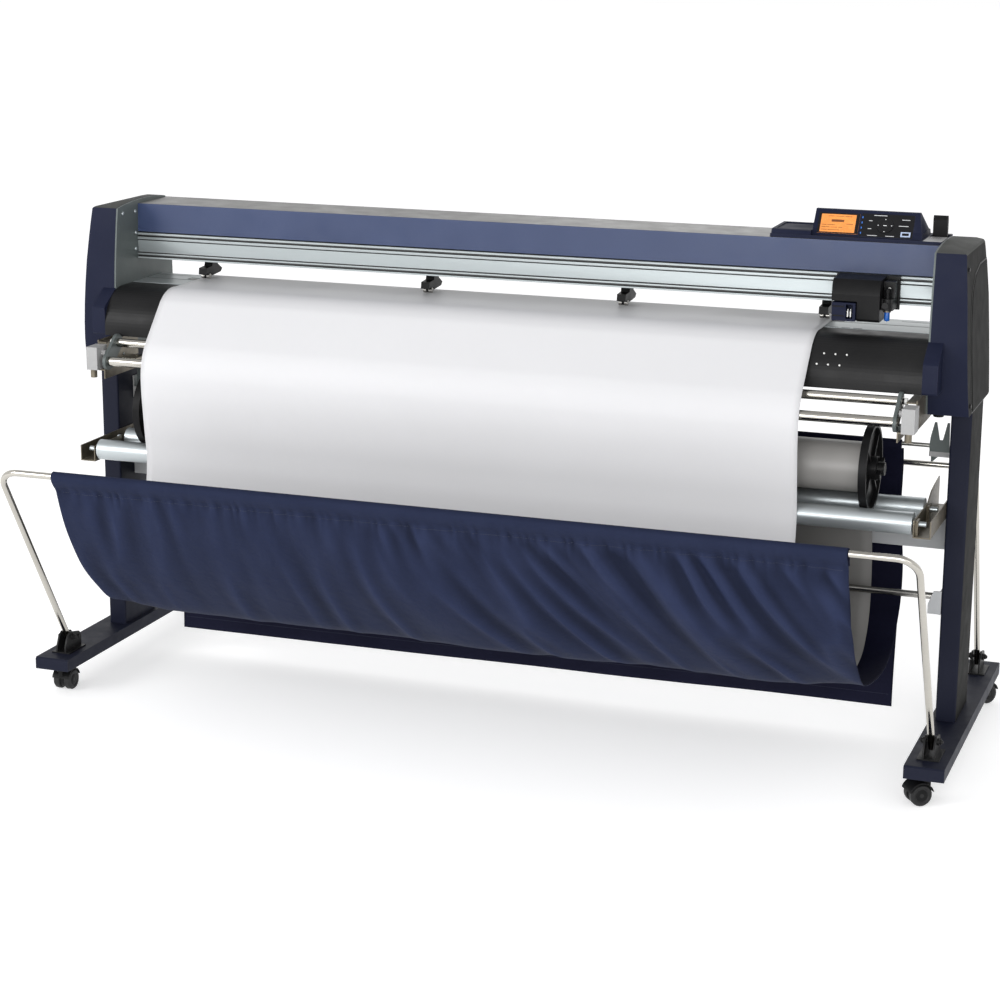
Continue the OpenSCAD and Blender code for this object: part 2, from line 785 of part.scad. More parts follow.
module platen() {
    color([0.74, 0.74, 0.72]) place() difference() {
        yz(-frame_in, frame_in) difference() {
            polygon([[-46, 900], [-46, platen_z], [27, platen_z], [27, platen_z - 5],
                [33, platen_z - 5], [33, platen_z], [110, platen_z], [110, 900]]);
            translate([-41, 905]) square([62, 83]);
            translate([29, 905]) square([76, 83]);
        }
        for (x = pinch_x)
            box([x - grit_half - 3, grit_y - grit_r - 2, 980],
                [x + grit_half + 3, grit_y + grit_r + 2, 1000]);
    }
}

guide_run = concat([[-46.5, platen_z - 1]], arc([-101, 900], 94, 90, 180, 18), [[-195, 886]]);

module front_guide() {
    color([0.13, 0.13, 0.13]) place() difference() {
        yz(-frame_in, frame_in) {
            polygon(strip(guide_run, 2));
            polygon([[-195, 886], [-195, 884], [-140, 884], [-140, 886]]);
        }
        for (i = [0:2], j = [0, 1])
            translate([782 + 25.5 * i - 13 * j, -160, 958 - 22 * j]) rotate([90, 0, 0])
                cylinder(h = 60, r = 2, $fn = 20);
    }
}

rear_run = concat([[110.5, platen_z - 2.5]], arc([112, 937], 55, 90, 0, 12), [[167, 880]]);

module rear_guide() {
    color([0.13, 0.13, 0.13]) place() yz(-frame_in, frame_in)
        intersection() {
            polygon(strip(rear_run, -2));
            translate([110.5, 870]) square([46, 130]);
        }
}

// one sheet from the back edge of the platen over the guide, past the rods, into the basket
web_run = concat([[116, platen_z + 0.4]], [[-50, platen_z + 0.4]],
    arc([-101, 900], 96.5, 85, 138, 10), arc([-150, 800], 128, 138, 180, 10),
    [[-276.5, 760], [-271, 710], [-265, 660], [-260, 625], [-258.5, 596], [-264, 545], [-284, 485],
    [-310, 425], [-325, 365], [-325, 310], [-305, 274], [-266, 258]]);

module media_web() {
    color([0.92, 0.92, 0.93]) place() yz(web_x0, web_x1) polygon(strip(web_run, -1));
}

/* ---- console and controls ---- */

// the frame of the sloping panel: X along, Y up the slope, Z out of the panel
module on_panel() {
    translate([0, panel_0[0], panel_0[1]]) rotate([panel_a, 0, 0]) children();
}

panel_len = 73;

module console() {
    color([0.13, 0.14, 0.22]) place() difference() {
        union() {
            yz(610, 1001) polygon([[-6, 1187.2], [142, 1187.2], [142, 1194], [-4, 1194]]);
            yz(612, 952) polygon([[-3, 1190], [2, 1203], [8, 1205], [126, 1206], [138, 1190]]);
            intersection() {
                yz(690, 980) polygon([panel_0, [panel_0[0] + panel_len * cos(panel_a),
                    panel_0[1] + panel_len * sin(panel_a)], [60, 1249.5], [118, 1205],
                    [100, 1188], [20, 1188]]);
                xz(0, 140) polygon([[702, 1180], [957, 1180], [941, 1251], [704, 1251]]);
            }
        }
        box([959, 74, 1150], [1000, 130, 1200]);
        yz(703, 953) polygon([[-10, 1194.2], [11.6, 1194.2], [21.6, 1209], [-10, 1209]]);
        box([620, 14, 1203.2], [698, 118, 1208]);
        on_panel() {
            box([713, 12, -3], [807, 64, 1]);
            box([811, 8, -3], [931, 66, 1]);
            for (p = key_pos) translate([p[0], p[1], -12]) cylinder(h = 13, r = p[2], $fn = 40);
        }
    }
}

nav_pos = [866, 37];
ring_pos = [915, 17];
key_pos = [[nav_pos[0], nav_pos[1], 14], [ring_pos[0], ring_pos[1], 6]];

module display() {
    color([0.95, 0.50, 0.15]) place() on_panel() box([713.3, 12.3, -2.9], [806.7, 63.7, -0.2]);
}

module keypad() {
    color([0.10, 0.10, 0.11]) place() on_panel() difference() {
        box([811.3, 8.3, -2.9], [930.7, 65.7, -0.2]);
        translate([nav_pos[0], nav_pos[1], -4]) cylinder(h = 5, r = 18.5, $fn = 48);
        translate([ring_pos[0] - 11.5, ring_pos[1] - 6.5, -4]) cube([23, 13, 5]);
    }
}

// ring key with four directions, pressed as one disc
module nav_key() {
    color([0.16, 0.16, 0.17]) place() on_panel() translate([nav_pos[0], nav_pos[1], 0])
        difference() {
            union() {
                translate([0, 0, -0.9]) cylinder(h = 2.4, r = 18, $fn = 48);
                translate([0, 0, -8]) cylinder(h = 8, r = 12, $fn = 40);
            }
            translate([0, 0, -10]) cylinder(h = 14, r = 7.3, $fn = 40);
        }
}

module enter_key() {
    color([0.20, 0.20, 0.21]) place() on_panel() translate([nav_pos[0], nav_pos[1], -8])
        cylinder(h = 9.2, r = 7, $fn = 40);
}

module ring_key() {
    color([0.70, 0.76, 0.85]) place() on_panel() translate([ring_pos[0], ring_pos[1], 0]) {
        translate([-11, -6, -0.9]) cube([22, 12, 2.2]);
        translate([0, 0, -8]) cylinder(h = 8, r = 4.5, $fn = 32);
    }
}

module media_lever() {
    color([0.04, 0.04, 0.04]) place() {
        yz(964, 997) polygon([[lever_yz[0] - 6, 1180], [lever_yz[0] + 6, 1180],
            [lever_yz[0] + 7, 1232], [lever_yz[0] + 3, 1241], [lever_yz[0] - 3, 1241],
            [lever_yz[0] - 7, 1232]]);
        yz(972, 984) translate([lever_yz[0] - 6, lever_yz[1]]) square([12, 36]);
        bar_x(972, cover_in, lever_yz, 6);
        bar_x(972, 988, lever_yz, 12);
    }
}

/* ---- mains inlet and switch on the back of the right cover ---- */

inlet_x = 1052;
inlet_z = [930, 990];

module inlet_cut() {
    box([inlet_x - 20, 150, inlet_z[0] - 1], [inlet_x + 20, 175, inlet_z[1] + 31]);
}

module power_inlet() {
    color([0.05, 0.05, 0.05]) place() difference() {
        box([inlet_x - 19.5, 152, inlet_z[0] - 0.5], [inlet_x + 19.5, 169, inlet_z[1] + 30.5]);
        box([inlet_x - 13, 156, inlet_z[0] + 8], [inlet_x + 13, 170, inlet_z[0] + 34]);
        box([inlet_x - 12, 156, inlet_z[1] - 4], [inlet_x + 12, 170, inlet_z[1] + 24]);
    }
}

module power_switch() {
    color([0.12, 0.12, 0.12]) place() yz(inlet_x - 11, inlet_x + 11)
        polygon([[159.5, inlet_z[1] + 10], [165, inlet_z[1] - 1], [172, inlet_z[1]],
            [168.6, inlet_z[1] + 10], [169.4, inlet_z[1] + 20], [165, inlet_z[1] + 21]]);
}

feet();
legs();
cross_beam();
caster_fl_fork();
caster_fl_wheels();
caster_fr_fork();
caster_fr_wheels();
caster_rl_fork();
caster_rl_wheels();
caster_rr_fork();
caster_rr_wheels();
basket_frame_front();
basket_frame_rear();
basket_brackets();
basket_rod_rear();
basket_rod_mid();
rear_rod_brackets();
mid_rod_brackets();
basket_cloth();
roller_channels();
stock_roller_front();
stock_roller_rear();
media_roll();
roll_flanges();
roll_tail();
guide_rod_upper();
guide_rod_lower();
guide_plates();
guide_boxes();
guide_brackets();
side_cover_left();
side_cover_right();
side_panels();
cover_screws();
side_frames();
top_panel();
fascia();
y_rail();
carriage_plate();
carriage_cover();
cross_cutter();
tool_holder();
blade_holder();
pinch_arms();
pinch_rollers();
lift_shaft();
grit_shaft();
platen();
front_guide();
rear_guide();
media_web();
console();
display();
keypad();
nav_key();
enter_key();
ring_key();
media_lever();
power_inlet();
power_switch();
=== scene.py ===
import bpy
import bmesh
import json
import math
import numpy as np
from mathutils import Matrix, Vector


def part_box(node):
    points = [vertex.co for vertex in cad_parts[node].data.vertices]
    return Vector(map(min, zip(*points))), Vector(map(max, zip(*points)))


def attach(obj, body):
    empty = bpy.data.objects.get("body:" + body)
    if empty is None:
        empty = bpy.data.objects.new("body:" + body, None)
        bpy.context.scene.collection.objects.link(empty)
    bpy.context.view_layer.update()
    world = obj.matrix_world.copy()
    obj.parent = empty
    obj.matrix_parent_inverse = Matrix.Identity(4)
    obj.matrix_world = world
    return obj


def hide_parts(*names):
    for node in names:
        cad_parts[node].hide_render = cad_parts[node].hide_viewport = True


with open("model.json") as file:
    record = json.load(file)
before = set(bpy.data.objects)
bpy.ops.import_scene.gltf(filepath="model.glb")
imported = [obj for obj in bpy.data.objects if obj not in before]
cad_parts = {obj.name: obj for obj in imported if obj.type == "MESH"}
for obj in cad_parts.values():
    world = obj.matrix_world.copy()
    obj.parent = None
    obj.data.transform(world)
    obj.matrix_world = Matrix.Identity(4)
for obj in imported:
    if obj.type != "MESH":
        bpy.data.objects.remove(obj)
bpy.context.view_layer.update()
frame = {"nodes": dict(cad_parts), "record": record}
NODES = frame["nodes"]
BODY = {n: b for b, ns in frame["record"]["behaviour"]["bodies"].items() for n in ns}
SLOT = {s["node"]: s["material_slot"] for s in frame["record"]["subparts"]}
YO = 0.0835  # the machine's leg datum lies this far behind the frame's origin


# ---------------------------------------------------------------- materials

def material(name, color, rough=0.5, metal=0.0, bump=0.15, grain=900.0, var=0.06,
             patch=6.0, stretch=(1, 1, 1), coat=0.0, sheen=0.0, edge_highlight=0.0, spec=0.5):
    """A painted, plastic or metal surface: tint and roughness drift, fine grain, edges lightened as
    a painted highlight.
    """
    m = bpy.data.materials.new(name)
    m.use_nodes = True
    nt = m.node_tree
    b = nt.nodes["Principled BSDF"]
    tc = nt.nodes.new("ShaderNodeTexCoord")
    mp = nt.nodes.new("ShaderNodeMapping")
    mp.inputs["Scale"].default_value = stretch
    nt.links.new(tc.outputs["Object"], mp.inputs["Vector"])

    def noise(scale, detail=3.0, rough_=0.5):
        n = nt.nodes.new("ShaderNodeTexNoise")
        n.inputs["Scale"].default_value = scale
        n.inputs["Detail"].default_value = detail
        n.inputs["Roughness"].default_value = rough_
        nt.links.new(mp.outputs["Vector"], n.inputs["Vector"])
        return n.outputs["Fac"]

    def remap(src, lo, hi):
        r = nt.nodes.new("ShaderNodeMapRange")
        r.inputs["From Min"].default_value = 0.3
        r.inputs["From Max"].default_value = 0.7
        r.inputs["To Min"].default_value = lo
        r.inputs["To Max"].default_value = hi
        nt.links.new(src, r.inputs["Value"])
        return r.outputs["Result"]

    def mix(fac, a, c):
        x = nt.nodes.new("ShaderNodeMix")
        x.data_type = "RGBA"
        for sock, v in ((x.inputs[6], a), (x.inputs[7], c)):
            if isinstance(v, (tuple, list)):
                sock.default_value = (*v, 1)
            else:
                nt.links.new(v, sock)
        nt.links.new(fac, x.inputs[0])
        return x.outputs[2]

    dark = tuple(c * (1 - var) for c in color)
    lite = tuple(min(1, c * (1 + var) + 0.004) for c in color)
    tint = mix(remap(noise(patch), 0, 1), dark, lite)
    fine = noise(grain * 0.22, 2.0)
    tint = mix(remap(fine, 0, 0.35), tint, dark)
    # lighter colour along the edges, found with the Bevel node: a painted edge highlight
    if edge_highlight > 0:
        bv = nt.nodes.new("ShaderNodeBevel")
        bv.samples = 4
        bv.inputs["Radius"].default_value = 0.0016
        geo = nt.nodes.new("ShaderNodeNewGeometry")
        dot = nt.nodes.new("ShaderNodeVectorMath")
        dot.operation = "DOT_PRODUCT"
        nt.links.new(bv.outputs["Normal"], dot.inputs[0])
        nt.links.new(geo.outputs["Normal"], dot.inputs[1])
        edge = nt.nodes.new("ShaderNodeMapRange")
        edge.inputs["From Min"].default_value = 0.995
        edge.inputs["From Max"].default_value = 0.90
        edge.inputs["To Max"].default_value = edge_highlight
        nt.links.new(dot.outputs["Value"], edge.inputs["Value"])
        tint = mix(edge.outputs["Result"], tint, tuple(min(1, c * 1.6 + 0.05) for c in color))
    nt.links.new(tint, b.inputs["Base Color"])
    nt.links.new(remap(noise(patch * 4.0, 4.0), rough - 0.06, rough + 0.06), b.inputs["Roughness"])
    b.inputs["Metallic"].default_value = metal
    b.inputs["Coat Weight"].default_value = coat
    b.inputs["Coat Roughness"].default_value = 0.15
    b.inputs["Specular IOR Level"].default_value = spec
    if sheen:
        b.inputs["Sheen Weight"].default_value = sheen
    bp = nt.nodes.new("ShaderNodeBump")
    bp.inputs["Strength"].default_value = bump
    bp.inputs["Distance"].default_value = 0.0003
    nt.links.new(noise(grain, 3.0), bp.inputs["Height"])
    nt.links.new(bp.outputs["Normal"], b.inputs["Normal"])
    return m


def cloth_material(name, color, weave=1500.0):
    """Woven polyester: crossed thread waves and crinkles for bump; painted highlight on the ridges
    and painted shade in the valleys.
    """
    m = bpy.data.materials.new(name)
    m.use_nodes = True
    nt = m.node_tree
    b = nt.nodes["Principled BSDF"]
    uv = nt.nodes.new("ShaderNodeUVMap")
    uv.uv_map = "UVMap"
    waves = []
    for axis in ("X", "Y"):
        w = nt.nodes.new("ShaderNodeTexWave")
        w.bands_direction = axis
        w.inputs["Scale"].default_value = weave / 6.283
        w.inputs["Distortion"].default_value = 0.6
        w.inputs["Detail"].default_value = 1.0
        nt.links.new(uv.outputs["UV"], w.inputs["Vector"])
        waves.append(w.outputs["Fac"])
    add = nt.nodes.new("ShaderNodeMath")
    add.operation = "ADD"
    nt.links.new(waves[0], add.inputs[0])
    nt.links.new(waves[1], add.inputs[1])
    n = nt.nodes.new("ShaderNodeTexNoise")
    n.inputs["Scale"].default_value = 9.0
    n.inputs["Detail"].default_value = 5.0
    nt.links.new(uv.outputs["UV"], n.inputs["Vector"])
    ramp = nt.nodes.new("ShaderNodeMix")
    ramp.data_type = "RGBA"
    ramp.inputs[6].default_value = (*[c * 0.86 for c in color], 1)
    ramp.inputs[7].default_value = (*[min(1, c * 1.18 + 0.003) for c in color], 1)
    nt.links.new(n.outputs["Fac"], ramp.inputs[0])
    thread = nt.nodes.new("ShaderNodeMix")
    thread.data_type = "RGBA"
    thread.blend_type = "MULTIPLY"
    thread.inputs[0].default_value = 0.35
    nt.links.new(ramp.outputs[2], thread.inputs[6])
    nt.links.new(add.outputs[0], thread.inputs[7])
    # lighter on the cloth's ridges and darker in its valleys, read from the relief attribute:
    # painted highlight and painted shade
    relief = nt.nodes.new("ShaderNodeAttribute")
    relief.attribute_name = "relief"
    fold_light_tone = nt.nodes.new("ShaderNodeMapRange")
    fold_light_tone.inputs["From Min"].default_value = -1.0
    fold_light_tone.inputs["To Min"].default_value = 0.58
    fold_light_tone.inputs["To Max"].default_value = 1.34
    nt.links.new(relief.outputs["Fac"], fold_light_tone.inputs["Value"])
    shade = nt.nodes.new("ShaderNodeVectorMath")
    shade.operation = "SCALE"
    nt.links.new(thread.outputs[2], shade.inputs[0])
    nt.links.new(fold_light_tone.outputs["Result"], shade.inputs["Scale"])
    nt.links.new(shade.outputs["Vector"], b.inputs["Base Color"])
    b.inputs["Roughness"].default_value = 0.65
    b.inputs["Specular IOR Level"].default_value = 0.07
    b.inputs["Sheen Weight"].default_value = 0.006
    b.inputs["Sheen Roughness"].default_value = 0.5
    b.inputs["Sheen Tint"].default_value = (0.6, 0.68, 0.9, 1)
    bump = nt.nodes.new("ShaderNodeBump")
    bump.inputs["Strength"].default_value = 0.35
    bump.inputs["Distance"].default_value = 0.0004
    nt.links.new(add.outputs[0], bump.inputs["Height"])
    crinkle = nt.nodes.new("ShaderNodeTexNoise")
    crinkle.inputs["Scale"].default_value = 26.0
    crinkle.inputs["Detail"].default_value = 3.0
    crinkle.inputs["Distortion"].default_value = 0.6
    nt.links.new(uv.outputs["UV"], crinkle.inputs["Vector"])
    soft = nt.nodes.new("ShaderNodeBump")
    soft.inputs["Strength"].default_value = 0.55
    soft.inputs["Distance"].default_value = 0.006
    nt.links.new(crinkle.outputs["Fac"], soft.inputs["Height"])
    nt.links.new(soft.outputs["Normal"], bump.inputs["Normal"])
    nt.links.new(bump.outputs["Normal"], b.inputs["Normal"])
    return m


M = {
    "navy_paint": material("navy_paint", (0.0068, 0.0085, 0.0200), 0.5, bump=0.25, edge_highlight=0.22,
                           spec=0.12),
    "navy_plastic": material("navy_plastic", (0.0075, 0.0100, 0.0270), 0.55, bump=0.3, edge_highlight=0.18,
                             spec=0.11),
    "fascia_paint": material("fascia_paint", (0.030, 0.046, 0.108), 0.36, bump=0.2, edge_highlight=0.3,
                             spec=0.35),
    "grey_panel": material("grey_panel", (0.0120, 0.0120, 0.0115), 0.7, bump=0.3, edge_highlight=0.15,
                           spec=0.08),
    "light_panel": material("light_panel", (0.33, 0.33, 0.33), 0.5, bump=0.2, edge_highlight=0.2),
    "champagne_panel": material("champagne_panel", (0.132, 0.129, 0.125), 0.38, 0.3, bump=0.15,
                                edge_highlight=0.2),
    "grey_beam": material("grey_beam", (0.38, 0.39, 0.40), 0.5, bump=0.25, edge_highlight=0.25),
    "zinc": material("zinc", (0.16, 0.14, 0.105), 0.36, 0.7, var=0.25, patch=34, bump=0.25,
                     edge_highlight=0.3),
    "dark_steel": material("dark_steel", (0.092, 0.108, 0.106), 0.45, 0.2, bump=0.25, edge_highlight=0.25,
                           spec=0.35),
    "chrome": material("chrome", (0.52, 0.50, 0.455), 0.15, 1.0, var=0.05, bump=0.03,
                       stretch=(0.05, 1, 1), grain=500),
    "steel": material("steel", (0.36, 0.35, 0.33), 0.26, 1.0, var=0.10, bump=0.08,
                      stretch=(0.06, 1, 1)),
    "aluminium": material("aluminium", (0.35, 0.385, 0.393), 0.38, 0.5, var=0.04, bump=0.12,
                          stretch=(0.02, 1, 1), grain=1200),
    "black_plastic": material("black_plastic", (0.0042, 0.0042, 0.0046), 0.42, bump=0.4,
                              edge_highlight=0.15, spec=0.14),
    "black_paint": material("black_paint", (0.0070, 0.0070, 0.0074), 0.42, bump=0.2, edge_highlight=0.2,
                            spec=0.2),
    "tyre": material("tyre", (0.006, 0.006, 0.0065), 0.5, bump=0.6, grain=600, spec=0.35),
    "vinyl_white": material("vinyl_white", (0.60, 0.60, 0.612), 0.5, bump=0.03, var=0.012,
                            patch=2.0, grain=300, spec=0.3),
    # the roll is white vinyl; this grey, darker than vinyl_white, is painted shade for where it
    # sits under the loaded sheet
    "vinyl_grey": material("vinyl_grey", (0.26, 0.253, 0.243), 0.42, bump=0.05, var=0.03,
                           patch=2.0, grain=300),
    "screen": material("screen", (0.86, 0.30, 0.06), 0.25, bump=0.02, var=0.10, patch=60,
                       coat=0.4),
    "key_grey": material("key_grey", (0.006, 0.006, 0.007), 0.36, bump=0.2, edge_highlight=0.3,
                         spec=0.2),
    "key_light": material("key_light", (0.42, 0.50, 0.68), 0.35, bump=0.1, coat=0.2),
    "tool_blue": material("tool_blue", (0.008, 0.10, 0.42), 0.25, bump=0.1, coat=0.5),
    "roller_metal": material("roller_metal", (0.50, 0.54, 0.555), 0.36, 0.8, var=0.03,
                             bump=0.05, stretch=(0.03, 1, 1)),
    "cloth": cloth_material("cloth", (0.0125, 0.0175, 0.0430)),
}
# a darker copy of the cloth: painted shade for the basket's inner face and the rear flap
M["cloth_shaded"] = cloth_material("cloth_shaded", (0.0060, 0.0065, 0.0200))
M["mark_grey"] = material("mark_grey", (0.60, 0.61, 0.62), 0.45, bump=0.05)
M["lcd_dark"] = material("lcd_dark", (0.16, 0.05, 0.012), 0.3, bump=0.02)
M["blue_mark"] = material("blue_mark", (0.04, 0.16, 0.55), 0.35, bump=0.05)
# near-black for grooves, gaps and holes: painted shade
M["groove"] = material("groove", (0.020, 0.020, 0.020), 0.5, bump=0.2)
M["cover_top"] = material("cover_top", (0.042, 0.044, 0.041), 0.6, bump=0.3, edge_highlight=0.2, spec=0.12)
# a darker copy of the vinyl: painted shade for the roll's end that hangs below the rollers
M["vinyl_shaded"] = material("vinyl_shaded", (0.150, 0.147, 0.141), 0.5, bump=0.05, var=0.03,
                           patch=2.0, grain=300, spec=0.3)
M["thread"] = material("thread", (0.022, 0.027, 0.050), 0.6, bump=0.3, grain=2500)
M["white_plastic"] = material("white_plastic", (0.72, 0.72, 0.70), 0.35, bump=0.1)


# ---------------------------------------------------------------- helpers

def finish(bm, name, mats, body, smooth=35):
    me = bpy.data.meshes.new(name)
    bmesh.ops.recalc_face_normals(bm, faces=bm.faces)
    bm.to_mesh(me)
    bm.free()
    ob = bpy.data.objects.new(name, me)
    bpy.context.collection.objects.link(ob)
    for m in mats if isinstance(mats, (list, tuple)) else [mats]:
        me.materials.append(M[m])
    me.shade_smooth()
    me.set_sharp_from_angle(angle=math.radians(smooth))
    if body:
        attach(ob, body)
    return ob


def bevel(ob, width, segments=2, angle=32):
    b = ob.modifiers.new("bevel", "BEVEL")
    b.width = width
    b.segments = segments
    b.limit_method = "ANGLE"
    b.angle_limit = math.radians(angle)
    b.harden_normals = True
    b.use_clamp_overlap = True
    return ob


def soften(node, width=0.0008, segments=2, mats=None, pick=None):
    """The CAD node again with rounded edges; pick gives each face its material number."""
    bm = bmesh.new()
    bm.from_mesh(NODES[node].data)
    bmesh.ops.remove_doubles(bm, verts=bm.verts, dist=2e-6)
    bmesh.ops.dissolve_limit(bm, angle_limit=math.radians(1.0), verts=bm.verts, edges=bm.edges)
    mats = mats or [SLOT[node]]
    for f in bm.faces:
        f.material_index = pick(f) if pick else 0
    ob = finish(bm, node + "_s", mats, BODY[node])
    bevel(ob, width, segments)
    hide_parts(node)
    return ob


def add_box(bm, lo, hi, mat=0):
    r = bmesh.ops.create_cube(bm, size=1)
    for v in r["verts"]:
        v.co = Vector([lo[i] + (v.co[i] + 0.5) * (hi[i] - lo[i]) for i in range(3)])
    for f in {f for v in r["verts"] for f in v.link_faces}:
        f.material_index = mat
    return r["verts"]


def add_lathe(bm, base, axis, profile, n=32, mat=0):
    """profile: (radius, distance along axis) from one end to the other."""
    axis = Vector(axis).normalized()
    u = axis.orthogonal().normalized()
    w = axis.cross(u)
    rings = []
    for r, h in profile:
        c = Vector(base) + axis * h
        if r < 1e-7:
            rings.append([bm.verts.new(c)])
        else:
            rings.append([bm.verts.new(c + (u * math.cos(a) + w * math.sin(a)) * r)
                          for a in [2 * math.pi * i / n for i in range(n)]])
    for a, b in zip(rings, rings[1:]):
        for i in range(n):
            j = (i + 1) % n
            q = [a[i % len(a)], a[j % len(a)], b[j % len(b)], b[i % len(b)]]
            q = [v for k, v in enumerate(q) if v not in q[:k]]
            if len(q) > 2:
                f = bm.faces.new(q)
                f.material_index = mat
    for ring in (rings[0], rings[-1]):
        if len(ring) > 2:
            f = bm.faces.new(ring)
            f.material_index = mat


def screw(bm, at, axis, r=0.004, h=0.002, mat=0):
    add_lathe(bm, at, axis, [(r, 0), (r, h * 0.55), (r * 0.86, h * 0.9), (r * 0.5, h),
                             (r * 0.46, h * 0.45), (0, h * 0.4)], 20, mat)


def seeded(i, j, seed):
    h = (i * 374761393 + j * 668265263 + seed * 974634777) & 0xFFFFFFFF
    h = ((h ^ (h >> 13)) * 1274126177) & 0xFFFFFFFF
    return ((h ^ (h >> 16)) & 0xFFFF) / 65535.0 * 2 - 1


def noise2(x, y, seed=0):
    """Smooth value noise on arrays, -1 to 1."""
    x, y = np.broadcast_arrays(np.asarray(x, float), np.asarray(y, float))
    i, j = np.floor(x).astype(np.int64), np.floor(y).astype(np.int64)
    fx, fy = x - i, y - j
    fx, fy = fx * fx * (3 - 2 * fx), fy * fy * (3 - 2 * fy)
    v = [seeded(i + a, j + b, seed) for a in (0, 1) for b in (0, 1)]
    return (v[0] * (1 - fx) * (1 - fy) + v[1] * (1 - fx) * fy
            + v[2] * fx * (1 - fy) + v[3] * fx * fy)


def smooth_run(pts, step):
    """Evenly spaced points on a rounded curve through pts, and their distances."""
    p = np.array(pts, float)
    q = [p[0]]
    for i in range(len(p) - 1):
        a, b, c, d = p[max(i - 1, 0)], p[i], p[i + 1], p[min(i + 2, len(p) - 1)]
        for t in np.linspace(0, 1, 13)[1:]:
            q.append(0.5 * ((2 * b) + (c - a) * t + (2 * a - 5 * b + 4 * c - d) * t * t
                            + (3 * b - a - 3 * c + d) * t ** 3))
    q = np.array(q)
    s = np.concatenate([[0], np.cumsum(np.linalg.norm(np.diff(q, axis=0), axis=1))])
    n = int(s[-1] / step) + 1
    t = np.linspace(0, s[-1], n)
    return np.stack([np.interp(t, s, q[:, 0]), np.interp(t, s, q[:, 1])], 1), t


def make_sheet(name, run, step, xs, offset, thick, mats, body, edge=None, pick=None):
    """A sheet that follows a YZ run across xs; offset(x, s) moves it along its normal."""
    c, s = smooth_run(run, step)
    d = np.gradient(c, axis=0)
    d /= np.linalg.norm(d, axis=1)[:, None]
    n = np.stack([d[:, 1], -d[:, 0]], 1)
    X = np.array(xs, float)
    XX, SS = np.meshgrid(X, s, indexing="ij")
    off = offset(XX, SS)
    xe = XX + (edge(XX, SS) if edge else 0)
    yy = c[None, :, 0] + n[None, :, 0] * off + YO
    zz = c[None, :, 1] + n[None, :, 1] * off
    v = np.stack([xe, yy, zz], 2).reshape(-1, 3)
    nx, ns = len(X), len(s)
    faces = [(i * ns + j, (i + 1) * ns + j, (i + 1) * ns + j + 1, i * ns + j + 1)
             for i in range(nx - 1) for j in range(ns - 1)]
    me = bpy.data.meshes.new(name)
    me.from_pydata([tuple(p) for p in v], [], faces)
    for m in mats:
        me.materials.append(M[m])
    uv = me.uv_layers.new(name="UVMap")
    loop_v = np.zeros(len(me.loops), np.int64)
    me.loops.foreach_get("vertex_index", loop_v)
    uvs = np.stack([XX.reshape(-1)[loop_v], SS.reshape(-1)[loop_v]], 1)
    uv.data.foreach_set("uv", uvs.astype(np.float32).reshape(-1))
    if pick:
        me.polygons.foreach_set("material_index", [
            pick(0.5 * (X[i] + X[i + 1]), 0.5 * (s[j] + s[j + 1]))
            for i in range(nx - 1) for j in range(ns - 1)])
    # how far each point stands out of its neighbours along X: the cloth material reads it to paint
    # shade in the valleys and a highlight on the ridges
    reach, full = 9, 0.0035
    near = np.pad(off, ((reach, reach), (0, 0)), mode="edge")
    near = sum(near[i:i + nx] for i in range(2 * reach + 1)) / (2 * reach + 1)
    relief = me.attributes.new("relief", "FLOAT", "POINT")
    relief.data.foreach_set("value", np.clip((off - near) / full, -1, 1)
                            .astype(np.float32).reshape(-1))
    ob = bpy.data.objects.new(name, me)
    bpy.context.collection.objects.link(ob)
    me.shade_smooth()
    so = ob.modifiers.new("thick", "SOLIDIFY")
    so.thickness = thick
    so.offset = 0
    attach(ob, body)
    return ob, s[-1]


def ramp(a, b, x):
    t = np.clip((x - a) / (b - a), 0, 1)
    return t * t * (3 - 2 * t)


# ---------------------------------------------------------------- CAD pieces, edges rounded

for n, ob in NODES.items():
    for k in range(len(ob.material_slots)):
        ob.material_slots[k].material = M[SLOT[n]]

for n, w in (("feet", 0.0012), ("cross_beam", 0.0010),
             ("basket_brackets", 0.0006),
             ("mid_rod_brackets", 0.0006), ("roller_channels", 0.0006),
             ("guide_plates", 0.0008), ("guide_brackets", 0.0005),
             ("side_panels", 0.0012), ("side_frames", 0.0006), ("top_panel", 0.0012),
             ("fascia", 0.0010), ("carriage_plate", 0.0006), ("cover_screws", 0.0004),
             ("cross_cutter", 0.0010), ("tool_holder", 0.0008), ("platen", 0.0005),
             ("console", 0.0018), ("display", 0.0004), ("keypad", 0.0006), ("ring_key", 0.0008),
             ("media_lever", 0.0030), ("power_inlet", 0.0008), ("power_switch", 0.0008),
             ("carriage_cover", 0.0022), ("roll_flanges", 0.0010), ("pinch_arms", 0.0008),
             ("caster_fl_fork", 0.0010), ("caster_fr_fork", 0.0010), ("caster_rl_fork", 0.0010),
             ("caster_rr_fork", 0.0010)):
    soften(n, w)


def cover_face(f):
    c, n = f.calc_center_median(), f.normal
    out = n.x * (1 if c.x > 0 else -1)
    if n.z > 0.5 and c.z > 1.15:
        return 2
    return 1 if out > 0.75 and abs(c.x) > 1.06 else 0


for n in ("side_cover_left", "side_cover_right"):
    soften(n, 0.0022, 3, ["navy_plastic", "grey_panel", "cover_top"], cover_face)
